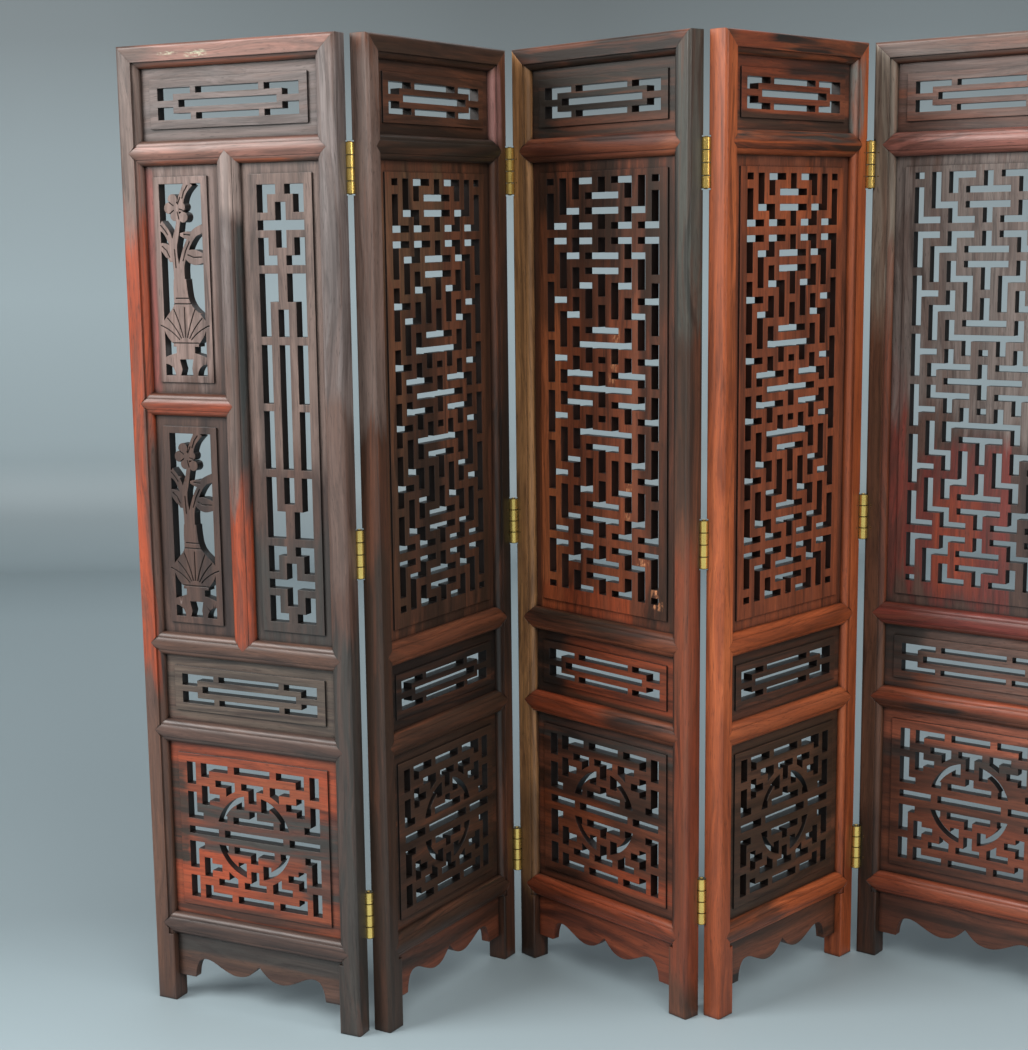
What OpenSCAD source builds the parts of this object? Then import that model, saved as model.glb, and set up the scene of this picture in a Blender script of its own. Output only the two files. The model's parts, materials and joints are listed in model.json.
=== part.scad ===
// Miniature carved hardwood folding screen: six hinged panels that stand in a zigzag.
// Every panel is a stile-and-rail frame with beaded edges and pointed shoulders.
// Its grooves hold loose pierced boards, and brass hinges join it to the next panel.
// Units are millimetres. X runs to the right, Y away from the front, Z up from the floor.
// Inside a panel x runs from its left edge, y from its front face and z from the floor.

/* [Overall] */
// Height of every panel
panel_height = 400; // [360:1:440]
// Width of every panel
panel_width = 100.6; // [90:0.1:115]
// Thickness of stiles and rails
panel_thickness = 8.4; // [8:0.1:10]

/* [Fold] */
// Heading of the first panel, seen from above, against the X axis
first_heading = -26.7; // [-40:0.1:0]
// Turn from panel 1 to panel 2, where 0 is straight and 180 is folded flat
turn_1_2 = 84; // [60:0.1:110]
// Turn from panel 2 to panel 3
turn_2_3 = 106.4; // [60:0.1:120]
// Turn from panel 3 to panel 4
turn_3_4 = 95; // [60:0.1:120]
// Turn from panel 4 to panel 5
turn_4_5 = 84.4; // [60:0.1:120]
// Turn from panel 5 to panel 6
turn_5_6 = 87; // [60:0.1:120]

/* [Frame] */
// Flat face of a stile, from its outer edge to the bead
stile_face = 7; // [6:0.1:9]
// Round bead along each side of a bay
bead = 2.4; // [1.8:0.1:2.8]
// Step from the face down to the top of the bead
bead_step = 0.8; // [0.4:0.1:1]
// Face of the top rail
top_face = 6.6; // [5.5:0.1:8]
// Cushioned face of the lower rails
rail_face = 5; // [4:0.1:6]
// Rise of the cushioned face
rail_rise = 0.6; // [0.3:0.1:0.8]
// Height of the legs under the bottom rail
leg_height = 29.8; // [22:0.1:36]
// Height of the medallion bay
medallion_bay = 75.6; // [72:0.1:82]
// Height of the waist bay
waist_bay = 27.8; // [27:0.1:32]
// Height of the frieze bay under the top rail
top_bay = 28.1; // [27:0.1:32]
// Depth of the pointed shoulders behind the face
shoulder_depth = 3.4; // [3.3:0.1:3.6]
// Length of the tenons
tenon_length = 4.4; // [3:0.1:5]
// Rounding of the outer front edges
front_round = 1.3; // [1:0.1:2.2]
// Height of the apron's brackets over the floor
bracket_height = 10.8; // [8:0.1:14]
// Rounding of the back edges and the feet
back_round = 0.6; // [0.3:0.1:1]

/* [Boards] */
// Depth of the board grooves into the wood
groove = 2; // [1.5:0.1:2.2]
// Depth of a board's margin behind the panel face
board_front = 3.8; // [3.6:0.1:4]
// Thickness of a board's tongue
board_thick = 3.4; // [2.6:0.1:3.6]
// Height of the raised field over the margin
field_rise = 0.8; // [0.5:0.1:0.8]
// Margin around a raised field
margin = 4.4; // [4:0.1:5]
// Solid border beside the large lattice's piercing
border = 4.5; // [3:0.1:5]
// Solid border over the large lattice's piercing
top_border = 2.5; // [2:0.1:4]
// Solid border under the large lattice's piercing
low_border = 6.2; // [4:0.1:7]
// Width of the upright slots of the large lattice
fret_slot_x = 4.1; // [3.8:0.1:4.6]
// Height of the level slots of the large lattice
fret_slot_z = 2.7; // [2.3:0.1:3.1]

/* [End panels] */
// Centre of the middle post, from the outer edge
muntin_centre = 50.05; // [47:0.05:53]
// Face of the middle post
muntin_face = 5.3; // [4.6:0.1:6]
// Face of the short rail between the vase boards
cross_face = 4.4; // [3.8:0.1:5]
// Margin beside a vase board's field on the stile's side
vase_margin_outer = 3.9; // [3:0.1:4.6]
// Margin beside a vase board's field on the post's side
vase_margin_inner = 5.7; // [4:0.1:6.2]
// Solid border around the vase figure
vase_border = 2.8; // [2.2:0.1:3.4]
// Margin beside the field of the narrow lattice
tall_margin = 3.6; // [3:0.1:4.4]

/* [Hinges] */
// Length of a hinge
hinge_length = 19.6; // [18:0.1:22]
// Distance of the upper and lower hinges from the panel's ends
hinge_inset = 50; // [45:0.5:52]
// Outer radius of the knuckles
knuckle_radius = 1.95; // [1.8:0.05:2.1]
// Radius of the hinge pins
pin_radius = 0.8; // [0.6:0.05:0.9]
// Running clearance of a pin in the turning knuckles
pin_clearance = 0.05; // [0.03:0.01:0.08]
// Gap between the edges of two panels standing in line
edge_gap = 0.8; // [0.6:0.1:2]
// Distance of the hinge axis in front of the panel face
axis_proud = 0.9; // [0.6:0.05:1]
// Thickness of a hinge leaf
leaf_thick = 0.6; // [0.4:0.05:0.6]
// Reach of a hinge leaf into the stile
leaf_reach = 4.2; // [3.6:0.1:4.2]

/* [Hidden] */
$fa = 6;
$fs = 0.25;
tiny = 0.01;
over = 1;

stile_w = stile_face + bead;
top_h = top_face + bead;
rail_h = rail_face + 2 * bead;
board_back = board_front + board_thick;
apron_rise = 0.4;
apron_front = board_front - apron_rise;
field_front = board_front - field_rise;
bay_left = stile_w;
bay_right = panel_width - stile_w;
bay_width = bay_right - bay_left;

// Lower and upper edges of the bays, built up from the floor
bottom_rail = leg_height;
medallion_low = bottom_rail + rail_h;
medallion_high = medallion_low + medallion_bay;
waist_low = medallion_high + rail_h;
waist_high = waist_low + waist_bay;
main_low = waist_high + rail_h;
top_high = panel_height - top_h;
top_low = top_high - top_bay;
main_high = top_low - rail_h;
main_bay = main_high - main_low;
rail_levels = [bottom_rail, medallion_high, waist_high, main_high];

// Bays beside the middle post and around the short rail of an end panel
muntin_w = muntin_face + 2 * bead;
muntin_left = muntin_centre - muntin_w / 2;
muntin_right = muntin_centre + muntin_w / 2;
cross_h = cross_face + 2 * bead;
cross_low = (main_low + main_high - cross_h) / 2;
cross_high = cross_low + cross_h;

// Hinges
hinge_levels = [hinge_inset, panel_height / 2, panel_height - hinge_inset];
knuckle_gap = 0.12;
knuckle_count = 4;
knuckle_length = (hinge_length - (knuckle_count - 1) * knuckle_gap) / knuckle_count;
knuckle_pitch = knuckle_length + knuckle_gap;
leaf_inset = 0.1;
turning_room = 0.1;
leaf_front = knuckle_radius - axis_proud - leaf_thick - leaf_inset;
knuckle_room = knuckle_radius + turning_room;
leaf_room = knuckle_radius + turning_room;
pin_end = 0.3;
brad_radius = 0.4;
brad_length = 5;
brad_inset = leaf_reach * 2 / 3;
brad_spread = hinge_length / 4;
axis_x = -edge_gap / 2;
axis_y = -axis_proud;

// Colours
rosewood = [0.42, 0.16, 0.10];
plum_wood = [0.36, 0.19, 0.17];
dark_wood = [0.30, 0.12, 0.09];
red_wood = [0.52, 0.19, 0.10];
brass = [0.80, 0.62, 0.25];
dark_brass = [0.45, 0.36, 0.20];

// Plan of the zigzag. Odd joints point to the front and turn on the back corners.
turns = [turn_1_2, turn_2_3, turn_3_4, turn_4_5, turn_5_6];
panel_count = len(turns) + 1;
function is_peak(joint) = joint % 2 == 1;
function heading(k) = k == 1 ? first_heading
    : heading(k - 1) + (is_peak(k - 1) ? 1 : -1) * turns[k - 2];
function turned(p, a) = [p[0] * cos(a) - p[1] * sin(a), p[0] * sin(a) + p[1] * cos(a)];
function axis_depth(joint) = is_peak(joint) ? panel_thickness + axis_proud : -axis_proud;
function raw_axis(joint) = raw_origin(joint)
    + turned([panel_width + edge_gap / 2, axis_depth(joint)], heading(joint));
function raw_origin(k) = k == 1 ? [0, 0]
    : raw_axis(k - 1) - turned([-edge_gap / 2, axis_depth(k - 1)], heading(k));

// The whole screen is centred over the origin by the round corners of its panels
corner_marks = [
    for (k = [1:panel_count])
        for (c = [[front_round, front_round, front_round],
                  [panel_width - front_round, front_round, front_round],
                  [back_round, panel_thickness - back_round, back_round],
                  [panel_width - back_round, panel_thickness - back_round, back_round]])
            concat(raw_origin(k) + turned([c[0], c[1]], heading(k)), [c[2]])
];
knuckle_marks = [for (j = [1:panel_count - 1]) concat(raw_axis(j), [knuckle_radius])];
marks = concat(corner_marks, knuckle_marks);
low = [for (i = [0:1]) min([for (m = marks) m[i] - m[2]])];
high = [for (i = [0:1]) max([for (m = marks) m[i] + m[2]])];
middle = (low + high) / 2;
function panel_origin(k) = raw_origin(k) - middle;
function joint_axis(joint) = raw_axis(joint) - middle;

// Puts a part of panel k in its place in the zigzag
module on_panel(k) {
    translate([panel_origin(k)[0], panel_origin(k)[1], 0])
        rotate([0, 0, heading(k)]) children();
}

// Turns a drawing left to right within the panel
module flipped(on) {
    if (on) translate([panel_width, 0, 0]) mirror([1, 0, 0]) children();
    else children();
}

// Moves a hinge part from the front face to the back face
module to_back(on) {
    if (on) translate([0, panel_thickness, 0]) mirror([0, 1, 0]) children();
    else children();
}

// Extrudes a front view drawn in x and z from depth y0 to depth y1
module front_view(y0, y1) {
    translate([0, y1, 0]) rotate([90, 0, 0]) linear_extrude(y1 - y0) children();
}

// Extrudes a section drawn in depth and height from x0 to x1
module side_view(x0, x1) {
    translate([x0, 0, 0]) rotate([90, 0, 90]) linear_extrude(x1 - x0) children();
}

// Block between two corners
module block(a, b) {
    translate(a) cube(b - a);
}

// Corner of a square that a rounding takes away, with the wood up and to the right
module corner_off(r) {
    difference() {
        translate([-over, -over]) square(over + r);
        translate([r, r]) circle(r = r);
    }
}

// Bead and board groove cut along the side of a bay, with x into the wood and y in depth
module bay_edge() {
    difference() {
        translate([-over, -over]) square([over + bead, over + bead_step + bead]);
        translate([bead, bead_step + bead]) circle(r = bead);
    }
    translate([-over, board_front]) square([over + groove, board_thick]);
}

// Section of the lower leg, from the outer edge to the inner edge
module leg_section() {
    difference() {
        square([stile_w, panel_thickness]);
        corner_off(front_round);
        translate([0, panel_thickness]) mirror([0, 1]) corner_off(back_round);
        translate([stile_w, 0]) mirror([1, 0]) corner_off(back_round);
    }
}

// Section of the left stile beside the bays
module stile_section() {
    difference() {
        square([stile_w, panel_thickness]);
        corner_off(front_round);
        translate([0, panel_thickness]) mirror([0, 1]) corner_off(back_round);
        translate([stile_w, 0]) mirror([1, 0]) bay_edge();
    }
}

// Section of a rail or post of height h with a cushioned face, in height and depth
module cushion_section(h) {
    face = h - 2 * bead;
    cushion_radius = (face * face / 4 + rail_rise * rail_rise) / (2 * rail_rise);
    difference() {
        square([h, panel_thickness]);
        bay_edge();
        translate([h, 0]) mirror([1, 0]) bay_edge();
        difference() {
            translate([bead, -over]) square([face, over + rail_rise]);
            translate([h / 2, cushion_radius]) circle(r = cushion_radius);
        }
    }
}

// Section of the top rail in height and depth, from its lower edge up
module top_section() {
    difference() {
        square([top_h, panel_thickness]);
        bay_edge();
        translate([top_h, 0]) mirror([1, 0]) corner_off(front_round);
        translate([top_h, panel_thickness]) mirror([1, 0]) mirror([0, 1]) corner_off(back_round);
    }
}

// Turns a section drawn in height and depth into depth and height
module upright() {
    mirror([1, -1]) children();
}

// Front outline of a rail from x0 to x1 with its two pointed ends
module pointed(x0, x1, z0, h) {
    tip = h / 2;
    polygon([[x0 - tip, z0 + tip], [x0, z0], [x1, z0], [x1 + tip, z0 + tip],
             [x1, z0 + h], [x0, z0 + h]]);
}

// Room that a pointed rail takes: points in front, shoulders behind, tenons in the middle
module rail_room(x0, x1, z0, h, tenon) {
    front_view(-over, shoulder_depth) pointed(x0, x1, z0, h);
    block([x0, shoulder_depth, z0], [x1, panel_thickness + over, z0 + h]);
    block([x0 - tenon, board_front, z0 + groove], [x1 + tenon, board_back, z0 + h - groove]);
}

// Pointed rail between two bays
module pointed_rail(x0, x1, z0, h, tenon) {
    intersection() {
        side_view(x0 - h / 2 - tiny, x1 + h / 2 + tiny)
            translate([0, z0]) upright() cushion_section(h);
        rail_room(x0, x1, z0, h, tenon);
    }
}

// Front outline of the mitred top rail
module top_outline() {
    polygon([[0, panel_height], [stile_face, panel_height - top_face],
             [stile_w, top_high], [panel_width - stile_w, top_high],
             [panel_width - stile_face, panel_height - top_face], [panel_width, panel_height]]);
}

// Hidden tenons of the top rail inside the stiles
module top_tenons() {
    block([stile_w - tenon_length - groove / 2, board_front, top_high + groove],
          [panel_width - stile_w + tenon_length + groove / 2, board_back, top_high + top_h / 2 + over]);
}

// Top rail
module top_rail() {
    intersection() {
        side_view(0, panel_width) translate([0, top_high]) upright() top_section();
        union() {
            front_view(-over, panel_thickness + over) top_outline();
            top_tenons();
        }
    }
}

// Room that the hinges of the left edge take in the stile, set in from the front face
module hinge_room() {
    for (level = hinge_levels) {
        translate([axis_x, axis_y, level - hinge_length / 2 - 2 * pin_end])
            cylinder(r = knuckle_room, h = hinge_length + 4 * pin_end);
        block([-over, leaf_front, level - hinge_length / 2],
              [leaf_reach, leaf_front + leaf_thick, level + hinge_length / 2]);
        for (side = [-1, 1])
            translate([brad_inset, -over, level + side * brad_spread])
                rotate([-90, 0, 0]) cylinder(r = brad_radius, h = over + brad_length);
    }
}

// Left stile, without its hinge room
module plain_stile() {
    difference() {
        union() {
            linear_extrude(leg_height) leg_section();
            translate([0, 0, leg_height]) linear_extrude(panel_height - leg_height) stile_section();
        }
        for (z = rail_levels) rail_room(bay_left, bay_right, z, rail_h, tenon_length);
        front_view(-over, panel_thickness + over) top_outline();
        top_tenons();
        block([stile_w - groove, board_front, bracket_height], [stile_w + over, board_back, leg_height]);
        foot_rounding();
    }
}

// Rounding of a foot's front and back edges
module foot_rounding() {
    side_view(-over, stile_w + over) {
        corner_off(back_round);
        translate([panel_thickness, 0]) mirror([1, 0]) corner_off(back_round);
    }
}

// Both stiles of a panel. Each edge takes its hinges from the front, the back or not at all.
module stiles(k) {
    difference() {
        plain_stile();
        if (k > 1) to_back(is_peak(k - 1)) hinge_room();
        if (k == 1) end_rail_room();
    }
    flipped(true) difference() {
        plain_stile();
        if (k < panel_count) to_back(is_peak(k)) hinge_room();
        if (k == panel_count) end_rail_room();
    }
}

function is_end(k) = k == 1 || k == panel_count;
function is_last(k) = k == panel_count;

// Rails of a panel
module rails(k) {
    top_rail();
    for (z = rail_levels) {
        if (is_end(k) && (z == main_high || z == waist_high)) {
            flipped(is_last(k)) difference() {
                pointed_rail(bay_left, bay_right, z, rail_h, tenon_length);
                muntin_room();
            }
        } else {
            pointed_rail(bay_left, bay_right, z, rail_h, tenon_length);
        }
    }
}

// Tenons of the middle post and the short rail are this long
inner_tenon = 4;

// Room of the middle post of an end panel
module muntin_room() {
    tip = muntin_w / 2;
    front_view(-over, shoulder_depth)
        polygon([[muntin_left, main_low], [muntin_centre, main_low - tip], [muntin_right, main_low],
                 [muntin_right, main_high], [muntin_centre, main_high + tip], [muntin_left, main_high]]);
    block([muntin_left, shoulder_depth, main_low], [muntin_right, panel_thickness + over, main_high]);
    block([muntin_left + groove, board_front, main_low - inner_tenon],
          [muntin_right - groove, board_back, main_high + inner_tenon]);
}

// Room of the short rail in the outer stile and the middle post
module end_rail_room() {
    rail_room(bay_left, muntin_left, cross_low, cross_h, inner_tenon);
}

// Middle post of an end panel
module post() {
    difference() {
        intersection() {
            translate([muntin_left, 0, main_low - muntin_w]) linear_extrude(main_bay + 2 * muntin_w)
                cushion_section(muntin_w);
            muntin_room();
        }
        end_rail_room();
    }
}

// Short rail between the vase boards
module short_rail() {
    pointed_rail(bay_left, muntin_left, cross_low, cross_h, inner_tenon);
}

// Board for a bay with a raised field, pierced by the drawing that is passed in
module board(x0, x1, z0, z1, side = margin) {
    difference() {
        union() {
            block([x0 - groove, board_front, z0 - groove], [x1 + groove, board_back, z1 + groove]);
            block([x0 + side, field_front, z0 + margin],
                  [x1 - side, board_front + board_thick / 2, z1 - margin]);
        }
        front_view(field_front - over, board_back + over)
            translate([(x0 + x1) / 2, (z0 + z1) / 2]) children();
    }
}

// Upright box in a drawing between two corners
module slot(x0, z0, x1, z1) {
    translate([x0, z0]) square([x1 - x0, z1 - z0]);
}

// Repeats a drawing in all four quarters
module quarters() {
    children();
    mirror([1, 0]) children();
    mirror([0, 1]) children();
    mirror([1, 0]) mirror([0, 1]) children();
}

// Repeats a drawing left and right
module sides() {
    children();
    mirror([1, 0]) children();
}

// Piercings are lists of boxes for the upper right quarter, from the board's centre:
// first x, first z, last x, last z. They follow the size of the bay that they fill.
module boxes(list, fx, fz) {
    for (b = list) slot(b[0] * fx, b[1] * fz, b[2] * fx, b[3] * fz);
}

// Frieze of long slots with stepped ends
frieze_boxes = [[0, 0, 22.6, 1.4], [0, 3.75, 14.5, 6.2], [17, 3.75, 32.5, 6.2],
                [25.1, 1.3, 32.5, 6.2]];
frieze_length = 81.2;

module frieze_fret() {
    quarters() boxes(frieze_boxes, bay_width / frieze_length, 1);
}

// Narrow lattice of an end panel: corner hooks, a cross, a ring on a stem and a long slot
tall_boxes = [[5.85, 76.2, 10.55, 87], [2.05, 83.2, 10.55, 87], [0, 62.6, 2.35, 80.2],
              [0, 69.4, 10.55, 73.2], [5.85, 55.8, 10.55, 66.5], [2.05, 55.8, 10.55, 59.6],
              [5.85, 27.9, 10.55, 52.6], [2.05, 41.6, 10.55, 52.6], [0, 27.9, 2.35, 38.6],
              [5.85, 1.5, 10.55, 24.7], [0, 0, 2.35, 24.7]];
tall_width = 35.8;
tall_height = 191;

module tall_fret() {
    quarters() boxes(tall_boxes, (bay_right - muntin_right) / tall_width, main_bay / tall_height);
}

// Medallion fret: hooks and crosses around a ring that holds a smaller fret
medallion_boxes = [[28, 20.15, 32.4, 29.8], [28, 5.05, 32.4, 16.8], [24.9, 5.05, 32.4, 8.05],
                   [11.9, 26.65, 25.3, 29.8], [21.35, 23.75, 25.3, 29.8], [0, 26.65, 8.75, 29.8],
                   [8.65, 20.15, 18.25, 23.05], [0, 20.15, 5.4, 23.05], [0, 14.85, 1.95, 23.05],
                   [21.4, 11.6, 25.25, 19.9], [16.4, 13.85, 25.25, 16.9], [0, 5, 9.9, 8],
                   [0, 5, 1.85, 11.4], [0, 0, 14.4, 1.6], [17.5, 0, 32.2, 1.6]];
medallion_width = 81.2;
medallion_height = 75.8;
ring_outer = 21;
ring_slot = 18.2;
ring_inner = 15.8;

module medallion_fret() {
    s = min(bay_width / medallion_width, medallion_bay / medallion_height);
    scale([s, s]) quarters() {
        boxes(medallion_boxes, 1, 1);
        // Leg of the side hook that ends on the ring
        difference() {
            slot(8.65, 15, 13, 22);
            circle(r = ring_outer);
        }
        // Bent slot inside the ring with its two legs
        intersection() {
            circle(r = ring_slot);
            union() {
                difference() {
                    slot(4.15, 5.05, ring_slot, ring_slot);
                    circle(r = ring_inner);
                }
                slot(4.15, 11.6, 8.1, ring_slot);
                slot(12.9, 5.05, ring_slot, 8.05);
            }
        }
    }
}

// Key fret of the large lattice, on a grid of nine columns and twenty-nine rows.
// Its slots are listed for the upper left quarter: the middle column is 4 and the middle row 14.
fret_columns = 9;
fret_rows = 29;
// Upright slots: column, first row, last row. A part of a row ends a slot at the bar beside it.
fret_uprights = [
    [0, 0, 0], [1, 0, 2], [2, 2, 3], [2, 0, 1], [4, 0, 1], [0, 1, 3], [4, 2, 3],
    [0, 4, 6], [2, 4, 5], [1, 5, 7], [4, 4, 5], [4, 6, 7.5], [2, 6, 7], [3, 7, 9],
    [0, 7, 10], [2, 8, 9], [1, 9, 11], [4, 8.5, 10], [2, 10, 11], [3, 11, 12],
    [0, 11, 13.5], [2, 12, 13], [1, 13.2, 13.5], [4, 12, 12], [4, 13, 14]
];
// Level slots: row, first column, last column
fret_levels = [
    [2, 1, 2], [3, 2, 3], [0, 2, 3], [1, 3, 4], [3, 0, 1], [2, 3, 4],
    [4, 0, 1], [4, 2, 3], [5, 1, 2], [5, 3, 4], [6, 3, 4], [7, 2, 3], [8, 0, 1],
    [9, 1, 2], [10, 3, 4], [11, 2, 4], [12, 0, 1], [13, 1, 3], [14, 2, 4]
];

module large_fret() {
    w = bay_width - 2 * margin - 2 * border;
    h = main_bay - 2 * margin - top_border - low_border;
    pitch_x = (w - fret_slot_x) / (fret_columns - 1);
    pitch_z = (h - fret_slot_z) / (fret_rows - 1);
    column_x = function(c) -w / 2 + fret_slot_x / 2 + c * pitch_x;
    row_z = function(r) h / 2 - fret_slot_z / 2 - r * pitch_z;
    // The middle column and row end on the middle lines, where the next quarter goes on
    translate([0, (low_border - top_border) / 2]) quarters() {
        for (u = fret_uprights)
            slot(column_x(u[0]) - fret_slot_x / 2, max(0, row_z(u[2]) - fret_slot_z / 2),
                 min(0, column_x(u[0]) + fret_slot_x / 2), row_z(u[1]) + fret_slot_z / 2);
        for (v = fret_levels)
            slot(column_x(v[1]) - fret_slot_x / 2, max(0, row_z(v[0]) - fret_slot_z / 2),
                 min(0, column_x(v[2]) + fret_slot_x / 2), row_z(v[0]) + fret_slot_z / 2);
    }
}

// Smooth curve through the points of p, with n steps from each point to the next
function bend(a, b, c, d, t) = b + t / 2 * (c - a
    + t * (2 * a - 5 * b + 4 * c - d + t * (3 * (b - c) + d - a)));
function curve(p, n) = [
    for (i = [0:len(p) - 2])
        for (j = [0:n - 1])
            bend(p[max(i - 1, 0)], p[i], p[i + 1], p[min(i + 2, len(p) - 1)], j / n),
    p[len(p) - 1]
];
function reversed(p) = [for (i = [len(p) - 1:-1:0]) p[i]];

// Stem or leaf along a smooth line of points: x, z and half width
function along(p, i) = [for (c = [0:1]) p[min(i + 1, len(p) - 1)][c] - p[max(i - 1, 0)][c]];
function beside(p, i, side) = let (d = along(p, i))
    [p[i][0] - side * p[i][2] * d[1] / norm(d), p[i][1] + side * p[i][2] * d[0] / norm(d)];
module ribbon(points, n = 4) {
    p = curve(points, n);
    polygon(concat([for (i = [0:len(p) - 1]) beside(p, i, 1)],
                   reversed([for (i = [0:len(p) - 1]) beside(p, i, -1)])));
}

// Shape of a turned vessel around a line of points: x, z and half width
module vessel(points, n = 4) {
    p = curve(points, n);
    polygon(concat([for (q = p) [q[0] - q[2], q[1]]], reversed([for (q = p) [q[0] + q[2], q[1]]])));
}

// Vase of flowers, drawn from the middle of the foot of its opening
figure_width = 20.1;
figure_height = 76.5;
vase_line = [[0.2, 13.1, 6.6], [0.1, 15.8, 8.9], [0, 18.8, 10.2], [0, 21.8, 10.2],
             [-0.1, 24.8, 7.7], [-0.5, 27.7, 4.8], [-1.1, 30.6, 3.7], [-1.5, 34, 3.4],
             [-1.6, 38.8, 3.05]];
left_stem = [[-2.2, 37, 2.2], [-2.9, 43, 1.6], [-3.6, 48, 1.4], [-3.7, 52, 1.4],
             [-2.8, 55.5, 1.3], [-1.6, 60, 1], [-1, 64, 1.1]];
right_stem = [[-1, 37, 2], [-0.6, 43, 1.4], [0.4, 47, 1.3], [2, 50.8, 1.4],
              [4, 54.3, 1.4], [6.6, 57.2, 1.6], [10.4, 58.7, 1.8]];
left_branch = [[-10.4, 60.3, 2.2], [-8.3, 58.7, 1.6], [-6.6, 56.5, 1.4], [-4, 51, 1.2]];
left_leaf = [[-10.4, 52.1, 1.3], [-7.6, 50.6, 2.3], [-5.6, 48.2, 2.2], [-5.4, 45.6, 0.6]];
curled_leaf = [[4.7, 56, 1.5], [2.2, 56.2, 1.5], [-0.7, 56.5, 0.5]];
right_leaf = [[1.2, 49, 1.2], [3.7, 48, 2.6], [6.7, 47.3, 3], [10.4, 47.1, 1.8]];
top_branch = [[0, 67.5, 1.4], [0.4, 70.4, 1.5], [1.9, 73.5, 1.5], [4.4, 77, 2.2]];
petals = [[-3.7, 70.3, 2.2], [-5.5, 67, 2.3], [-2.7, 64, 2.2], [0.4, 67.3, 1.9],
          [1.2, 63.3, 2.1], [-2, 66.8, 2]];
stand_arch = 25;
stand_top = 9.5;
stand_opening = [[-2.9, -1], [-2.9, 0], [-2.1, 2.5], [-3.2, 6.5], [3.4, 6.6], [2.7, 3],
                 [3.1, 0], [3.1, -1]];

module vase_figure() {
    vessel(vase_line);
    slot(-6, 11.7, 6.4, 13.4);
    slot(-4.6, 8, 4.4, 12.5);
    ribbon(left_stem);
    ribbon(right_stem);
    ribbon(left_branch);
    ribbon(left_leaf);
    ribbon(curled_leaf);
    ribbon(right_leaf);
    ribbon(top_branch);
    for (p = petals) translate([p[0], p[1]]) circle(r = p[2]);
    // Low stand with three openings between its feet
    difference() {
        intersection() {
            slot(-figure_width / 2 - over, -over, figure_width / 2 + over, stand_top);
            translate([0, stand_top - stand_arch]) circle(r = stand_arch);
        }
        polygon(stand_opening);
        sides() translate([figure_width / 2, 0]) circle(r = 4.6);
    }
}

// Vase board for a bay from x0 to x1 and from z0 to z1
module vase_board(x0, x1, z0, z1) {
    field_left = x0 + vase_margin_outer;
    field_right = x1 - vase_margin_inner;
    open_width = field_right - field_left - 2 * vase_border;
    open_height = z1 - z0 - 2 * margin - 2 * vase_border;
    s = min(open_width / figure_width, open_height / figure_height);
    difference() {
        union() {
            block([x0 - groove, board_front, z0 - groove], [x1 + groove, board_back, z1 + groove]);
            block([field_left, field_front, z0 + margin],
                  [field_right, board_front + board_thick / 2, z1 - margin]);
        }
        front_view(field_front - over, board_back + over)
            translate([(field_left + field_right) / 2, z0 + margin + vase_border])
            scale([s, s]) difference() {
                slot(-figure_width / 2, 0, figure_width / 2, figure_height);
                vase_figure();
            }
    }
}

// Boards of the frieze bay and the waist bay
module friezes() {
    board(bay_left, bay_right, top_low, top_high) frieze_fret();
    board(bay_left, bay_right, waist_low, waist_high) frieze_fret();
}

// Board of the medallion bay
module medallion() {
    board(bay_left, bay_right, medallion_low, medallion_high) medallion_fret();
}

// Large lattice of a middle panel
module lattice() {
    board(bay_left, bay_right, main_low, main_high) large_fret();
}

// Narrow lattice of an end panel
module tall_lattice() {
    board(muntin_right, bay_right, main_low, main_high, tall_margin) tall_fret();
}

// Both vase boards of an end panel
module vase_boards() {
    vase_board(bay_left, muntin_left, cross_high, main_high);
    vase_board(bay_left, muntin_left, main_low, cross_low);
}

// Scalloped lower edge of the apron, from the middle to a bracket: x and height over the foot
apron_line = [[0, 9.4], [3, 6.5], [6, 4.5], [10, 3.6], [14, 4], [19, 6], [23, 7.9],
              [26.5, 8.6], [29.5, 7.6], [31.4, 4.4], [32.2, 0]];
apron_half = 40.6;
apron_drop = 18.3;

// Apron under the bottom rail, tongued into the rail and the legs
module apron() {
    fx = bay_width / 2 / apron_half;
    fz = (leg_height - bracket_height) / apron_drop;
    half = [for (p = curve(apron_line, 4)) [p[0] * fx, p[1] * fz]];
    last = half[len(half) - 1][0];
    mirrored_half = reversed([for (p = half) if (p[0] > 0) [-p[0], p[1]]]);
    difference() {
        union() {
            block([bay_left, apron_front, bracket_height], [bay_right, board_back, bottom_rail]);
            block([bay_left - groove, board_front, bracket_height],
                  [bay_right + groove, board_back, bottom_rail + groove]);
        }
        front_view(-over, panel_thickness + over) translate([panel_width / 2, bracket_height])
            polygon(concat([[-last, -over]], mirrored_half, half, [[last, -over]]));
    }
}

// One leaf of a hinge on a left edge: plate in the kerf, every second knuckle and its bore
module leaf(level, own, bore) {
    base = level - hinge_length / 2;
    difference() {
        union() {
            block([axis_x, leaf_front, base], [leaf_reach, leaf_front + leaf_thick, base + hinge_length]);
            for (i = [0:knuckle_count - 1])
                if (i % 2 == own) translate([axis_x, axis_y, base + i * knuckle_pitch])
                    cylinder(r = knuckle_radius, h = knuckle_length);
        }
        for (i = [0:knuckle_count - 1])
            if (i % 2 != own)
                translate([axis_x, axis_y, base + i * knuckle_pitch - knuckle_gap])
                    cylinder(r = leaf_room, h = knuckle_length + 2 * knuckle_gap);
        translate([axis_x, axis_y, base - over]) cylinder(r = bore, h = hinge_length + 2 * over);
        for (side = [-1, 1])
            translate([brad_inset, -over, level + side * brad_spread])
                rotate([-90, 0, 0]) cylinder(r = brad_radius, h = over + brad_length);
    }
}

// Hinge leaves of panel k: the leaf on a right edge holds the pin, the other one turns on it
module hinge_leaves(k) {
    for (level = hinge_levels) {
        if (k > 1) to_back(is_peak(k - 1)) leaf(level, 0, pin_radius + pin_clearance);
        if (k < panel_count) flipped(true) to_back(is_peak(k)) leaf(level, 1, pin_radius);
    }
}

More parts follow.
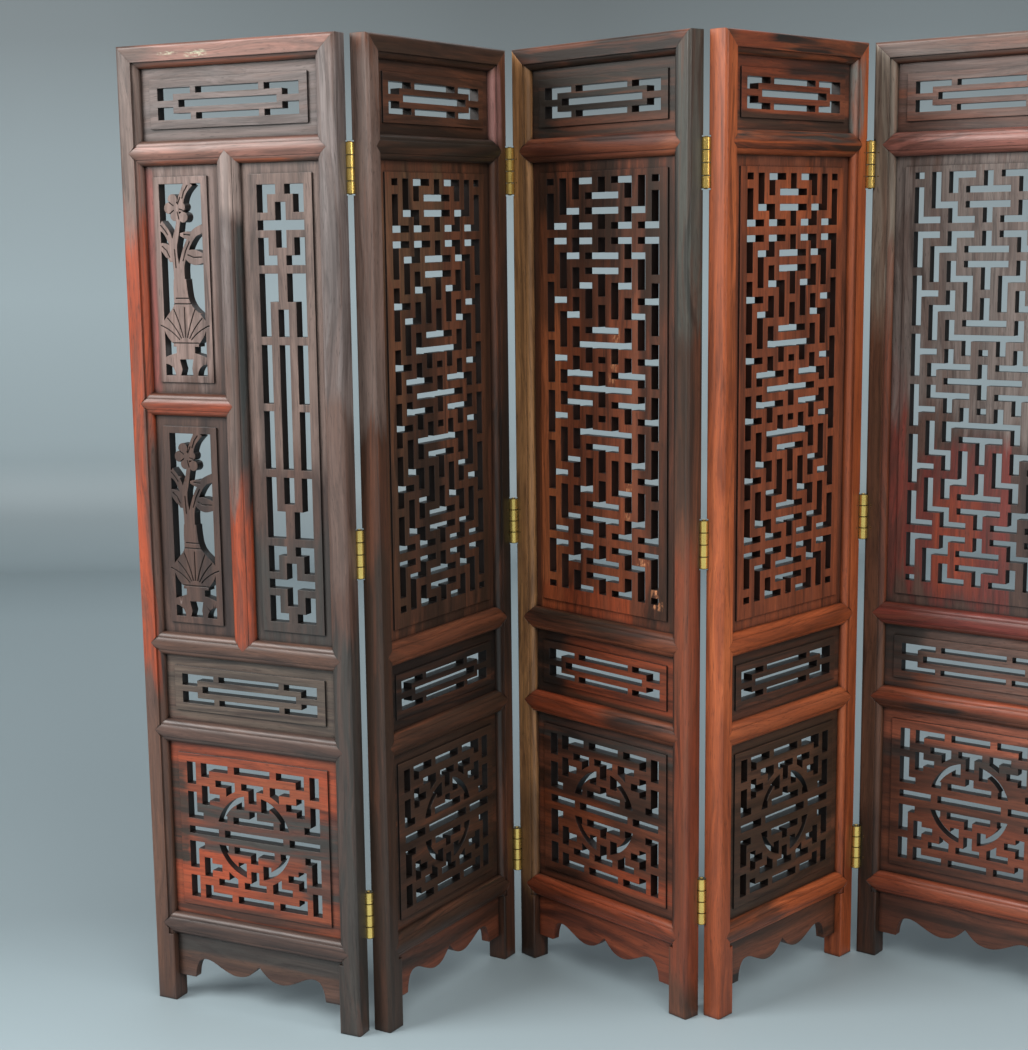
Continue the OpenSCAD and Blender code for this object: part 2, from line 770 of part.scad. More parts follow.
// Brads through the leaves of one edge
module edge_brads() {
    for (level = hinge_levels)
        for (side = [-1, 1])
            translate([brad_inset, 0, level + side * brad_spread])
                rotate([-90, 0, 0]) cylinder(r = brad_radius, h = brad_length);
}

// Brads of panel k
module brads(k) {
    if (k > 1) to_back(is_peak(k - 1)) edge_brads();
    if (k < panel_count) flipped(true) to_back(is_peak(k)) edge_brads();
}

// The three hinge pins between two panels
module pins(joint) {
    axis = joint_axis(joint);
    length = hinge_length + 2 * pin_end;
    chamfer = pin_end * 2 / 3;
    for (level = hinge_levels)
        translate([axis[0], axis[1], level - length / 2]) rotate_extrude()
            polygon([[0, 0], [pin_radius - chamfer, 0], [pin_radius, chamfer],
                     [pin_radius, length - chamfer], [pin_radius - chamfer, length], [0, length]]);
}

module panel_1_stiles() {
    color(plum_wood) on_panel(1) stiles(1);
}

module panel_1_rails() {
    color(plum_wood) on_panel(1) rails(1);
}

module panel_1_post() {
    color(plum_wood) on_panel(1) flipped(is_last(1)) post();
}

module panel_1_short_rail() {
    color(plum_wood) on_panel(1) flipped(is_last(1)) short_rail();
}

module panel_1_friezes() {
    color(plum_wood) on_panel(1) friezes();
}

module panel_1_lattice() {
    color(plum_wood) on_panel(1) flipped(is_last(1)) tall_lattice();
}

module panel_1_vase_boards() {
    color(plum_wood) on_panel(1) flipped(is_last(1)) vase_boards();
}

module panel_1_medallion() {
    color(plum_wood) on_panel(1) medallion();
}

module panel_1_apron() {
    color(plum_wood) on_panel(1) apron();
}

module panel_1_hinge_leaves() {
    color(brass) on_panel(1) hinge_leaves(1);
}

module panel_1_brads() {
    color(dark_brass) on_panel(1) brads(1);
}

module panel_2_stiles() {
    color(dark_wood) on_panel(2) stiles(2);
}

module panel_2_rails() {
    color(dark_wood) on_panel(2) rails(2);
}

module panel_2_friezes() {
    color(dark_wood) on_panel(2) friezes();
}

module panel_2_lattice() {
    color(dark_wood) on_panel(2) lattice();
}

module panel_2_medallion() {
    color(dark_wood) on_panel(2) medallion();
}

module panel_2_apron() {
    color(dark_wood) on_panel(2) apron();
}

module panel_2_hinge_leaves() {
    color(brass) on_panel(2) hinge_leaves(2);
}

module panel_2_brads() {
    color(dark_brass) on_panel(2) brads(2);
}

module panel_3_stiles() {
    color(rosewood) on_panel(3) stiles(3);
}

module panel_3_rails() {
    color(rosewood) on_panel(3) rails(3);
}

module panel_3_friezes() {
    color(rosewood) on_panel(3) friezes();
}

module panel_3_lattice() {
    color(rosewood) on_panel(3) lattice();
}

module panel_3_medallion() {
    color(rosewood) on_panel(3) medallion();
}

module panel_3_apron() {
    color(rosewood) on_panel(3) apron();
}

module panel_3_hinge_leaves() {
    color(brass) on_panel(3) hinge_leaves(3);
}

module panel_3_brads() {
    color(dark_brass) on_panel(3) brads(3);
}

module panel_4_stiles() {
    color(red_wood) on_panel(4) stiles(4);
}

module panel_4_rails() {
    color(red_wood) on_panel(4) rails(4);
}

module panel_4_friezes() {
    color(dark_wood) on_panel(4) friezes();
}

module panel_4_lattice() {
    color(dark_wood) on_panel(4) lattice();
}

module panel_4_medallion() {
    color(dark_wood) on_panel(4) medallion();
}

module panel_4_apron() {
    color(dark_wood) on_panel(4) apron();
}

module panel_4_hinge_leaves() {
    color(brass) on_panel(4) hinge_leaves(4);
}

module panel_4_brads() {
    color(dark_brass) on_panel(4) brads(4);
}

module panel_5_stiles() {
    color(plum_wood) on_panel(5) stiles(5);
}

module panel_5_rails() {
    color(plum_wood) on_panel(5) rails(5);
}

module panel_5_friezes() {
    color(plum_wood) on_panel(5) friezes();
}

module panel_5_lattice() {
    color(plum_wood) on_panel(5) lattice();
}

module panel_5_medallion() {
    color(plum_wood) on_panel(5) medallion();
}

module panel_5_apron() {
    color(plum_wood) on_panel(5) apron();
}

module panel_5_hinge_leaves() {
    color(brass) on_panel(5) hinge_leaves(5);
}

module panel_5_brads() {
    color(dark_brass) on_panel(5) brads(5);
}

module panel_6_stiles() {
    color(plum_wood) on_panel(6) stiles(6);
}

module panel_6_rails() {
    color(plum_wood) on_panel(6) rails(6);
}

module panel_6_post() {
    color(plum_wood) on_panel(6) flipped(is_last(6)) post();
}

module panel_6_short_rail() {
    color(plum_wood) on_panel(6) flipped(is_last(6)) short_rail();
}

module panel_6_friezes() {
    color(plum_wood) on_panel(6) friezes();
}

module panel_6_lattice() {
    color(plum_wood) on_panel(6) flipped(is_last(6)) tall_lattice();
}

module panel_6_vase_boards() {
    color(plum_wood) on_panel(6) flipped(is_last(6)) vase_boards();
}

module panel_6_medallion() {
    color(plum_wood) on_panel(6) medallion();
}

module panel_6_apron() {
    color(plum_wood) on_panel(6) apron();
}

module panel_6_hinge_leaves() {
    color(brass) on_panel(6) hinge_leaves(6);
}

module panel_6_brads() {
    color(dark_brass) on_panel(6) brads(6);
}

module hinge_pins_1_2() {
    color(brass) pins(1);
}

module hinge_pins_2_3() {
    color(brass) pins(2);
}

module hinge_pins_3_4() {
    color(brass) pins(3);
}

module hinge_pins_4_5() {
    color(brass) pins(4);
}

module hinge_pins_5_6() {
    color(brass) pins(5);
}

panel_1_stiles();
panel_1_rails();
panel_1_post();
panel_1_short_rail();
panel_1_friezes();
panel_1_lattice();
panel_1_vase_boards();
panel_1_medallion();
panel_1_apron();
panel_1_hinge_leaves();
panel_1_brads();
panel_2_stiles();
panel_2_rails();
panel_2_friezes();
panel_2_lattice();
panel_2_medallion();
panel_2_apron();
panel_2_hinge_leaves();
panel_2_brads();
panel_3_stiles();
panel_3_rails();
panel_3_friezes();
panel_3_lattice();
panel_3_medallion();
panel_3_apron();
panel_3_hinge_leaves();
panel_3_brads();
panel_4_stiles();
panel_4_rails();
panel_4_friezes();
panel_4_lattice();
panel_4_medallion();
panel_4_apron();
panel_4_hinge_leaves();
panel_4_brads();
panel_5_stiles();
panel_5_rails();
panel_5_friezes();
panel_5_lattice();
panel_5_medallion();
panel_5_apron();
panel_5_hinge_leaves();
panel_5_brads();
panel_6_stiles();
panel_6_rails();
panel_6_post();
panel_6_short_rail();
panel_6_friezes();
panel_6_lattice();
panel_6_vase_boards();
panel_6_medallion();
panel_6_apron();
panel_6_hinge_leaves();
panel_6_brads();
hinge_pins_1_2();
hinge_pins_2_3();
hinge_pins_3_4();
hinge_pins_4_5();
hinge_pins_5_6();
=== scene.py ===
# Looks of a carved wooden folding screen: wood, brass, lines cut into the vases, camera, floor and lights
import math
import json
import bmesh
import bpy
from mathutils import Euler, Matrix, Vector
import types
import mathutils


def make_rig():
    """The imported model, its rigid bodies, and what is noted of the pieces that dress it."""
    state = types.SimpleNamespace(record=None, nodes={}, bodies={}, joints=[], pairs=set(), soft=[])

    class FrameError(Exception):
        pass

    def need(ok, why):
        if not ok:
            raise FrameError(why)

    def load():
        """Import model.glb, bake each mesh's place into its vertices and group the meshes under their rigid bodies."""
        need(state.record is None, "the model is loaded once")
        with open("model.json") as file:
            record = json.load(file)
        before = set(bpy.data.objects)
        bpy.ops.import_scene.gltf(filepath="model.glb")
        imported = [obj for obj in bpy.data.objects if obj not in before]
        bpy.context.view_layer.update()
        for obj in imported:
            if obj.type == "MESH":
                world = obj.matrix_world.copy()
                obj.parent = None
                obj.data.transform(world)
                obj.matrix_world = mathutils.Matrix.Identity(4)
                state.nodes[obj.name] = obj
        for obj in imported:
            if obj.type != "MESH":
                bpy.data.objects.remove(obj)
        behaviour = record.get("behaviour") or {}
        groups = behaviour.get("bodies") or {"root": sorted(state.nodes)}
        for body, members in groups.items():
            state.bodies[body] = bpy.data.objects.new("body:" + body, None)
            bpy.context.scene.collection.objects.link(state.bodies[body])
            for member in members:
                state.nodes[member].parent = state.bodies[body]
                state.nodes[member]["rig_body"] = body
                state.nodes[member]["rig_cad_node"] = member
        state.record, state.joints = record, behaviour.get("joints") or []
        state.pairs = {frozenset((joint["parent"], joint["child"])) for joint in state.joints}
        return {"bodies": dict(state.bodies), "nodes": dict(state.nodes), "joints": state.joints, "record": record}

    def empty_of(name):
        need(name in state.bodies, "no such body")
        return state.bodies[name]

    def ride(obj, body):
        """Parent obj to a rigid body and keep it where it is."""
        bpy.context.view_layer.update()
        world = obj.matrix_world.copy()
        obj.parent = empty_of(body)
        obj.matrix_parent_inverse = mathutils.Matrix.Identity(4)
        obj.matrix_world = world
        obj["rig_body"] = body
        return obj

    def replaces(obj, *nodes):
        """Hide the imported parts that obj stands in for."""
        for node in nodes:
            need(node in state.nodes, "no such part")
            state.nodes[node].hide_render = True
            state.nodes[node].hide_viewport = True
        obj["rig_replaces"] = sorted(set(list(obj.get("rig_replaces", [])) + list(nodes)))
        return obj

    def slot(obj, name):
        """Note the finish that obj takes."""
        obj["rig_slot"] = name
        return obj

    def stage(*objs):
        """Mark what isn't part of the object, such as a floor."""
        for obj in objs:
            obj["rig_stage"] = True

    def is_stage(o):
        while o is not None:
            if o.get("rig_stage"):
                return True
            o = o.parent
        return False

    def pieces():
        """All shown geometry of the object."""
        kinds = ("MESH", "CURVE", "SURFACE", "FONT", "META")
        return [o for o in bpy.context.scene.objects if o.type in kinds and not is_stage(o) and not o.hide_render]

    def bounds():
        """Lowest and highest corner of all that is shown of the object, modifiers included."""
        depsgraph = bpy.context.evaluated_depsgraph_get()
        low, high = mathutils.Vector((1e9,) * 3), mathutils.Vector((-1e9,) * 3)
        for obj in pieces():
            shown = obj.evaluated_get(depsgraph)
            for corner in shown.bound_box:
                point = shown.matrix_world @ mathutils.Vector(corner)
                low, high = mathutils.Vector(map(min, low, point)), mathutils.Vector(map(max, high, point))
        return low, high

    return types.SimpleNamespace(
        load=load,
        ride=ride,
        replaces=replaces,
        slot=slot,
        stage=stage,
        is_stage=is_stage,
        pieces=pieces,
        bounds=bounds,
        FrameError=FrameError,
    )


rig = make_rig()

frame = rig.load()
with open("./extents.json", "w") as out:
    json.dump({"cad": [list(map(float, c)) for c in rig.bounds()]}, out)

MM = 0.001
PER_METRE = 1000
# No shift or turn, and no change of scale
STILL = (0, 0, 0)
UNIT = (1, 1, 1)

PANELS = 6
# One panel, the gap between neighbours and how far the hinge barrels stand proud, in metres
WIDTH = 0.1006
THICK = 0.0084
GAP = 0.0008
PROUD = 0.0009
# Heading of the first panel, in degrees
FIRST_HEADING = -26.7
JOINTS = {j["name"]: j for j in frame["record"]["behaviour"]["joints"]}


def fold(k):
    """The joint between panel k and the next one"""
    return JOINTS["fold_%d_%d" % (k, k + 1)]


def plan():
    """Plan of the zigzag, read from the joints: each panel's heading in degrees and origin in metres"""
    headings = [FIRST_HEADING]
    for k in range(1, PANELS):
        # The folds turn to and fro
        opening = fold(k)["range_deg"][1]
        headings.append(headings[-1] + opening * (1 if k % 2 else -1))
    spots = []
    for k in range(1, PANELS + 1):
        # The last panel takes its place from the joint at its left edge
        number = min(k, PANELS - 1)
        joint = fold(number)["pos_m"]
        # The pins lie behind the panels at odd joints and in front of them at even ones
        depth = THICK + PROUD if number % 2 else -PROUD
        along = WIDTH + GAP / 2 if k < PANELS else -GAP / 2
        turn = Matrix.Rotation(math.radians(headings[k - 1]), 3, "Z")
        spots.append(Vector((joint[0], joint[1], 0)) - turn @ Vector((along, depth, 0)))
    return headings, spots


HEADINGS, ORIGINS = plan()


class Nodes:
    """Small helper that builds a node tree"""

    def __init__(self, name):
        self.material = bpy.data.materials.new(name)
        self.material.use_nodes = True
        self.tree = self.material.node_tree
        self.tree.nodes.clear()
        self.shader = self.add("ShaderNodeBsdfPrincipled")
        out = self.add("ShaderNodeOutputMaterial")
        self.link(self.shader.outputs[0], out.inputs["Surface"])

    def add(self, kind, **values):
        node = self.tree.nodes.new(kind)
        for key, value in values.items():
            setattr(node, key, value)
        return node

    def link(self, a, b):
        self.tree.links.new(a, b)

    def feed(self, socket, value):
        """Links another node's output, or sets a plain value"""
        if hasattr(value, "is_output") or hasattr(value, "links"):
            self.link(value, socket)
        else:
            socket.default_value = value

    def coordinates(self, output):
        return self.add("ShaderNodeTexCoord").outputs[output]

    def split(self, vector):
        node = self.add("ShaderNodeSeparateXYZ")
        self.link(vector, node.inputs[0])
        return node.outputs

    def math(self, kind, a, b=0.0):
        node = self.add("ShaderNodeMath", operation=kind)
        self.feed(node.inputs[0], a)
        self.feed(node.inputs[1], b)
        return node.outputs[0]

    def mapped(self, vector, location, rotation, scale):
        node = self.add("ShaderNodeMapping")
        self.link(vector, node.inputs["Vector"])
        node.inputs["Location"].default_value = location
        node.inputs["Rotation"].default_value = rotation
        node.inputs["Scale"].default_value = scale
        return node.outputs[0]

    def noise(self, vector, scale, detail=3.0, rough=0.55, distortion=0.0):
        node = self.add("ShaderNodeTexNoise")
        self.link(vector, node.inputs["Vector"])
        node.inputs["Scale"].default_value = scale
        node.inputs["Detail"].default_value = detail
        node.inputs["Roughness"].default_value = rough
        node.inputs["Distortion"].default_value = distortion
        return node.outputs["Fac"]

    def ramp(self, fac, stops, mode="LINEAR"):
        node = self.add("ShaderNodeValToRGB")
        node.color_ramp.interpolation = mode
        self.link(fac, node.inputs["Fac"])
        line = node.color_ramp.elements
        while len(line) < len(stops):
            line.new(0.5)
        for element, (place, colour) in zip(line, stops):
            element.position = place
            element.color = (*colour, 1.0)
        return node.outputs["Color"]

    def remap(self, value, low, high, to_low=0.0, to_high=1.0):
        node = self.add("ShaderNodeMapRange")
        self.link(value, node.inputs["Value"])
        node.inputs["From Min"].default_value = low
        node.inputs["From Max"].default_value = high
        node.inputs["To Min"].default_value = to_low
        node.inputs["To Max"].default_value = to_high
        return node.outputs["Result"]

    def mix(self, fac, a, b):
        """Mixes two colours. The node's colour sockets are inputs 6 and 7 and output 2."""
        node = self.add("ShaderNodeMix", data_type="RGBA", blend_type="MIX")
        self.feed(node.inputs["Factor"], fac)
        self.feed(node.inputs[6], a if hasattr(a, "links") else (*a, 1.0))
        self.feed(node.inputs[7], b if hasattr(b, "links") else (*b, 1.0))
        return node.outputs[2]

    def rounded(self, radius):
        """Normal that rounds the edges a little"""
        node = self.add("ShaderNodeBevel", samples=RAYS)
        node.inputs["Radius"].default_value = radius
        return node.outputs["Normal"]


# Rays that find the corners and edges
RAYS = 4

# Noises of the wood: scale per metre, then detail, roughness and distortion
SWAY_NOISE = (26, 2)
WANDER = (24, 2)
BROAD = (75, 4, 0.6, 0.8)
MIDDLE = (300, 4, 0.6, 0.3)
FINE = (1700, 2, 0.6)
PORES = (2600, 1, 0.5)
CRUMBS = (900, 4, 0.65)
STREAKS = (210, 3, 0.6, 1.2)
VEINS = (130, 3, 0.6, 1.6)
# Scale along the grain as a share of the scale across it, which draws the noises out into fibres
SWAY_SHARE = 0.3
WANDER_SHARE = 0.35
FIBRE_SHARE = 0.05
FINE_SHARE = 0.03
PORE_SHARE = 0.08
CRUMB_SHARE = 0.4
# Shift of the noises for each step of the seed, so that no two nodes have the same grain, and how many
# steps lie between two kinds of piece
SEED_STEP = (0.37, 0.11, 0.53)
SEEDS_APART = 10
# How far the fibres wander and how far the painted shade in a corner reaches, in metres
SWAY = 0.008
CORNER = 0.0022

# Ranges as remap() takes them: lowest and highest value, and what each becomes
MOST_OF_A_NOISE = (0.3, 0.7)
FIGURE_RANGE = (0.40, 0.60)
GRAINY_RANGE = (0.34, 0.64, 0.70, 1.15)
BROAD_DRIFT = (*MOST_OF_A_NOISE, -1.4, 1.4)
MIDDLE_DRIFT = (*MOST_OF_A_NOISE, -0.6, 0.6)
CRUMB_RANGE = (0.47, 0.60)
STREAK_RANGE = (0.40, 0.54, 0.50, 1.0)
VEIN_RANGE = (0.57, 0.68, 0.0, 0.55)
FINE_RANGE = (0.32, 0.72, 0.0, 0.34)
PORE_RANGE = (0.62, 0.72, 0.0, 0.45)
WALL_RANGE = (0.2, 0.6, 0.9, 0.0)
CORNER_RANGE = (0.35, 0.88, 0.92, 0.0)
FINE_SHINE = (0.4, 0.7, 0.0, 0.08)
# Roughness changes by so much, from the lowest to the highest
BROAD_SHINE = (-0.04, 0.07)

# Shares of the broad, middle and wandering noise in the figure, and where the four tones lie on it
FIGURE_SHARES = (0.55, 0.25, 0.20)
TONE_PLACES = (0.0, 0.32, 0.68, 1.0)
# Veins, fibres and pores are the darkest tone times this
VEIN_SHADE = 0.3
# A patch's edge wanders and is soft by a share of its half size, at most so many millimetres along the
# grain and across it
EDGE_WAVE = (0.3, 9.0, 1.6)
EDGE_SOFT = (0.25, 5.0, 0.8)
# Polish: coat, its roughness, specular level, radius of the worn edges and the relief of the fibres
COAT = 0.06
COAT_ROUGH = 0.28
SPECULAR = 0.42
WORN_RADIUS = 0.00035
RELIEF = 0.2
RELIEF_DEPTH = 0.0002
MIDDLE_RELIEF = 0.6
FRAME_ROUGH = 0.39
BOARD_ROUGH = 0.42


def panel_space(n, k):
    """Coordinates of panel k in metres: x along it, y in depth and z up"""
    turn = -math.radians(HEADINGS[k - 1])
    shift = -(Matrix.Rotation(turn, 3, "Z") @ ORIGINS[k - 1])
    return n.mapped(n.coordinates("Object"), shift, (0, 0, turn), UNIT)


def limited(half, along, limits):
    """A patch edge's wave or softness in millimetres"""
    share, most_along, most_across = limits
    return min(share * half, most_along if along else most_across)


def wood(name, k, grain, tones, seed, patches, rough, pierced):
    """Polished rosewood. The grain runs along 'x' or 'z'. tones are four colours from dark to light.
    Each patch is (x, z, half width, half height, colour, strength) in millimetres in the panel; some are painted sheen
    and highlights.
    pierced paints shade on the walls of the openings, whose wood is also unpolished."""
    n = Nodes(name)
    space = panel_space(n, k)

    def stretched(share):
        return n.mapped(moved, STILL, STILL, (1, 1, share) if grain == "z" else (share, 1, 1))

    moved = n.mapped(space, tuple(seed * step for step in SEED_STEP), STILL, UNIT)
    # The fibres wander sideways, so they aren't ruled lines
    bent = n.add("ShaderNodeVectorMath", operation="ADD")
    n.link(moved, bent.inputs[0])
    n.link(n.remap(n.noise(stretched(SWAY_SHARE), *SWAY_NOISE), 0.0, 1.0, -SWAY, SWAY), bent.inputs[1])
    moved = bent.outputs[0]
    fibre = stretched(FIBRE_SHARE)
    wander = n.noise(stretched(WANDER_SHARE), *WANDER)
    broad = n.noise(fibre, *BROAD)
    middle = n.noise(fibre, *MIDDLE)
    fine = n.noise(stretched(FINE_SHARE), *FINE)
    pores = n.noise(stretched(PORE_SHARE), *PORES)
    noises = (broad, middle, wander)
    shares = [n.math("MULTIPLY", noise, share) for noise, share in zip(noises, FIGURE_SHARES)]
    figure = n.math("ADD", n.math("ADD", shares[0], shares[1]), shares[2])
    spread = n.remap(figure, *FIGURE_RANGE)
    colour = n.ramp(spread, list(zip(TONE_PLACES, tones)), "B_SPLINE")
    grainy = n.remap(middle, *GRAINY_RANGE)
    drift = n.math("ADD", n.remap(broad, *BROAD_DRIFT), n.remap(middle, *MIDDLE_DRIFT))
    crumbs = n.remap(n.noise(stretched(CRUMB_SHARE), *CRUMBS), *CRUMB_RANGE)
    streaky = n.remap(n.noise(fibre, *STREAKS), *STREAK_RANGE)
    place = n.split(space)
    # Patches: the wood's own colours, and painted sheen and highlights
    for (px, pz, rx, rz, paint, strength) in patches:
        fade = strength
        for axis, middle_at, half in (("X", px, rx), ("Z", pz, rz)):
            along = axis.lower() == grain
            wave = limited(half, along, EDGE_WAVE)
            soft = limited(half, along, EDGE_SOFT)
            away = n.math("SUBTRACT", n.math("MULTIPLY", place[axis], PER_METRE), middle_at)
            away = n.math("ADD", n.math("ABSOLUTE", away), n.math("MULTIPLY", drift, wave))
            fade = n.math("MULTIPLY", n.remap(away, half - soft, half + soft, 1.0, 0.0), fade)
        fade = n.math("MULTIPLY", fade, crumbs if paint in SPECKS else streaky)
        tint = n.add("ShaderNodeVectorMath", operation="SCALE")
        tint.inputs[0].default_value = paint
        n.link(grainy, tint.inputs["Scale"])
        colour = n.mix(fade, colour, tint.outputs["Vector"])
    # Near-black veins along the grain, then light and dark fibres and open pores
    dark = tuple(c * VEIN_SHADE for c in tones[0])
    colour = n.mix(n.remap(n.noise(fibre, *VEINS), *VEIN_RANGE), colour, dark)
    colour = n.mix(n.remap(fine, *FINE_RANGE), colour, dark)
    colour = n.mix(n.remap(pores, *PORE_RANGE), colour, dark)
    # Painted shade on the walls of the openings: faces turned sideways in the board are darkened
    if pierced:
        turn = math.radians(HEADINGS[k - 1])
        facing = n.add("ShaderNodeVectorMath", operation="DOT_PRODUCT")
        n.link(n.coordinates("Normal"), facing.inputs[0])
        facing.inputs[1].default_value = (-math.sin(turn), math.cos(turn), 0)
        wall = n.remap(n.math("ABSOLUTE", facing.outputs["Value"]), *WALL_RANGE)
        colour = n.mix(wall, colour, WALL)
    # Painted shade in the corners and creases, where the occlusion finds them
    corner = n.add("ShaderNodeAmbientOcclusion", samples=RAYS)
    corner.inputs["Distance"].default_value = CORNER
    colour = n.mix(n.remap(corner.outputs["AO"], *CORNER_RANGE), colour, CORNER_SHADE)
    n.link(colour, n.shader.inputs["Base Color"])
    low, high = BROAD_SHINE
    shine = n.remap(broad, *MOST_OF_A_NOISE, rough + low, rough + high)
    n.link(n.math("ADD", shine, n.remap(fine, *FINE_SHINE)), n.shader.inputs["Roughness"])
    n.shader.inputs["Coat Weight"].default_value = COAT
    n.shader.inputs["Coat Roughness"].default_value = COAT_ROUGH
    n.shader.inputs["Specular IOR Level"].default_value = SPECULAR
    bump = n.add("ShaderNodeBump")
    bump.inputs["Strength"].default_value = RELIEF
    bump.inputs["Distance"].default_value = RELIEF_DEPTH
    n.link(n.math("ADD", fine, n.math("MULTIPLY", middle, MIDDLE_RELIEF)), bump.inputs["Height"])
    n.link(n.rounded(WORN_RADIUS), bump.inputs["Normal"])
    n.link(bump.outputs["Normal"], n.shader.inputs["Normal"])
    return n.material


# Heights of the hinges' middles and length of a knuckle, in metres, and how many knuckles a hinge reaches
# above and below its middle
HINGE_LEVELS = (0.050, 0.200, 0.350)
KNUCKLE = 0.0049
KNUCKLES_FROM_MIDDLE = 2.6
# Dark line between two knuckles: its range, strength and colour
JOINT_RANGE = (0.030, 0.065, 1.0, 0.0)
JOINT_STRENGTH = 0.9
JOINT_DARK = (0.035, 0.020, 0.008)
# Tarnish: its noise, range and shade, and how the roughness changes with it
TARNISH = (180, 2, 0.5)
TARNISH_RANGE = (0.45, 0.75, 0.0, 0.5)
TARNISH_SHADE = 0.75
TARNISH_SHINE = (-0.03, 0.05)
# How metallic the brass is, and the radius of its worn edges
METALLIC = 0.88
METAL_RADIUS = 0.0002


def metal(name, colour, rough):
    """Brass with a slight tarnish, darker in the joints between the knuckles"""
    n = Nodes(name)
    coord = n.coordinates("Object")
    height = n.split(coord)["Z"]
    # The joints lie a whole number of knuckles above or below a hinge's middle
    joint = None
    for level in HINGE_LEVELS:
        steps = n.math("DIVIDE", n.math("SUBTRACT", height, level), KNUCKLE)
        off = n.math("ABSOLUTE", n.math("SUBTRACT", steps, n.math("ROUND", steps)))
        near = n.math("LESS_THAN", n.math("ABSOLUTE", steps), KNUCKLES_FROM_MIDDLE)
        line = n.math("MULTIPLY", n.remap(off, *JOINT_RANGE), near)
        joint = line if joint is None else n.math("MAXIMUM", joint, line)
    worn = n.noise(coord, *TARNISH)
    dull = n.mix(n.remap(worn, *TARNISH_RANGE), colour, tuple(c * TARNISH_SHADE for c in colour))
    dull = n.mix(n.math("MULTIPLY", joint, JOINT_STRENGTH), dull, JOINT_DARK)
    n.link(dull, n.shader.inputs["Base Color"])
    n.shader.inputs["Metallic"].default_value = METALLIC
    low, high = TARNISH_SHINE
    n.link(n.remap(worn, *MOST_OF_A_NOISE, rough + low, rough + high), n.shader.inputs["Roughness"])
    n.link(n.rounded(METAL_RADIUS), n.shader.inputs["Normal"])
    return n.material


# Tones from dark to light, in linear light
PLUM = [(0.026, 0.015, 0.013), (0.045, 0.026, 0.021), (0.074, 0.039, 0.029), (0.112, 0.060, 0.045)]
BROWN = [(0.014, 0.008, 0.005), (0.042, 0.019, 0.011), (0.085, 0.031, 0.016), (0.140, 0.048, 0.023)]
RUST = [(0.022, 0.009, 0.005), (0.068, 0.022, 0.011), (0.135, 0.038, 0.018), (0.210, 0.062, 0.028)]
EMBER = [(0.035, 0.010, 0.005), (0.105, 0.024, 0.010), (0.190, 0.040, 0.015), (0.270, 0.065, 0.024)]
ORANGE = [(0.100, 0.024, 0.008), (0.250, 0.055, 0.017), (0.370, 0.086, 0.026), (0.460, 0.120, 0.038)]
# Reds and oranges of the patches. The rose one is painted sheen on the upper rails, and the pink one a painted
# highlight on a red bead
FLAME = (0.34, 0.058, 0.018)
SCARLET = (0.26, 0.048, 0.034)
CRIMSON = (0.20, 0.032, 0.024)
WINE = (0.25, 0.070, 0.057)
BRICK = (0.23, 0.050, 0.016)
OXBLOOD = (0.080, 0.019, 0.009)
CORAL = (0.27, 0.10, 0.078)
CLAY = (0.38, 0.105, 0.055)
COPPER = (0.44, 0.115, 0.037)
AMBER = (0.44, 0.125, 0.045)
ROSE_SHEEN = (0.26, 0.115, 0.086)
PINK_HIGHLIGHT = (0.36, 0.17, 0.155)
# Pale and dull colours of the patches. The pale, sand, sheen, mauve, oat, blush and fawn ones are painted sheen,
# mostly on the upper parts of the panels, and the drab one a painted highlight on a bead
HONEY = (0.39, 0.190, 0.075)
PALE_SHEEN = (0.31, 0.235, 0.21)
PETAL = (0.24, 0.165, 0.145)
SAND_SHEEN = (0.225, 0.185, 0.148)
PAINTED_SHEEN = (0.20, 0.17, 0.165)
MAUVE_SHEEN = (0.185, 0.125, 0.105)
OAT_SHEEN = (0.180, 0.144, 0.130)
DUN = (0.17, 0.105, 0.085)
DRAB_HIGHLIGHT = (0.17, 0.16, 0.145)
BLUSH_SHEEN = (0.16, 0.112, 0.096)
TAN = (0.16, 0.085, 0.045)
FAWN_SHEEN = (0.13, 0.090, 0.078)
DUST = (0.125, 0.098, 0.075)
MINK = (0.12, 0.085, 0.070)
# Browns and near-blacks of the patches
CHESTNUT = (0.13, 0.055, 0.030)
MOSS = (0.055, 0.056, 0.048)
SEPIA = (0.044, 0.024, 0.013)
ASH = (0.038, 0.034, 0.030)
UMBER = (0.034, 0.020, 0.013)
SHADOW = (0.026, 0.028, 0.027)
PITCH = (0.020, 0.016, 0.012)
COAL = (0.016, 0.010, 0.007)
SOOT = (0.010, 0.009, 0.008)
# Painted shade on the walls of the openings, where the wood is also unpolished, and painted shade in the corners
WALL = (0.003, 0.002, 0.002)
CORNER_SHADE = (0.004, 0.002, 0.0015)
# Paints that show as specks: worn-off polish and bare wood
SCUFF = (0.50, 0.52, 0.36)
RAW = (0.50, 0.21, 0.10)
SPECKS = (SCUFF, RAW)

PARTS = ("stiles", "rails", "friezes", "lattice", "medallion", "apron",
         "post", "short_rail", "vase_boards")
LEVEL_GRAIN = ("rails", "friezes", "medallion", "apron", "short_rail")
FRAME_PARTS = ("stiles", "rails", "post", "short_rail")
# Tones of each panel's pieces, in the order of PARTS
SETS = {
    1: (PLUM, PLUM, PLUM, PLUM, EMBER, PLUM, PLUM, RUST, PLUM),
    2: (BROWN, BROWN, BROWN, BROWN, BROWN, RUST),
    3: (BROWN, RUST, BROWN, RUST, RUST, EMBER),
    4: (ORANGE, ORANGE, RUST, RUST, BROWN, BROWN),
    5: (BROWN, RUST, RUST, PLUM, RUST, RUST),
    6: (PLUM, PLUM, PLUM, RUST, RUST, BROWN, PLUM, RUST, PLUM),
}
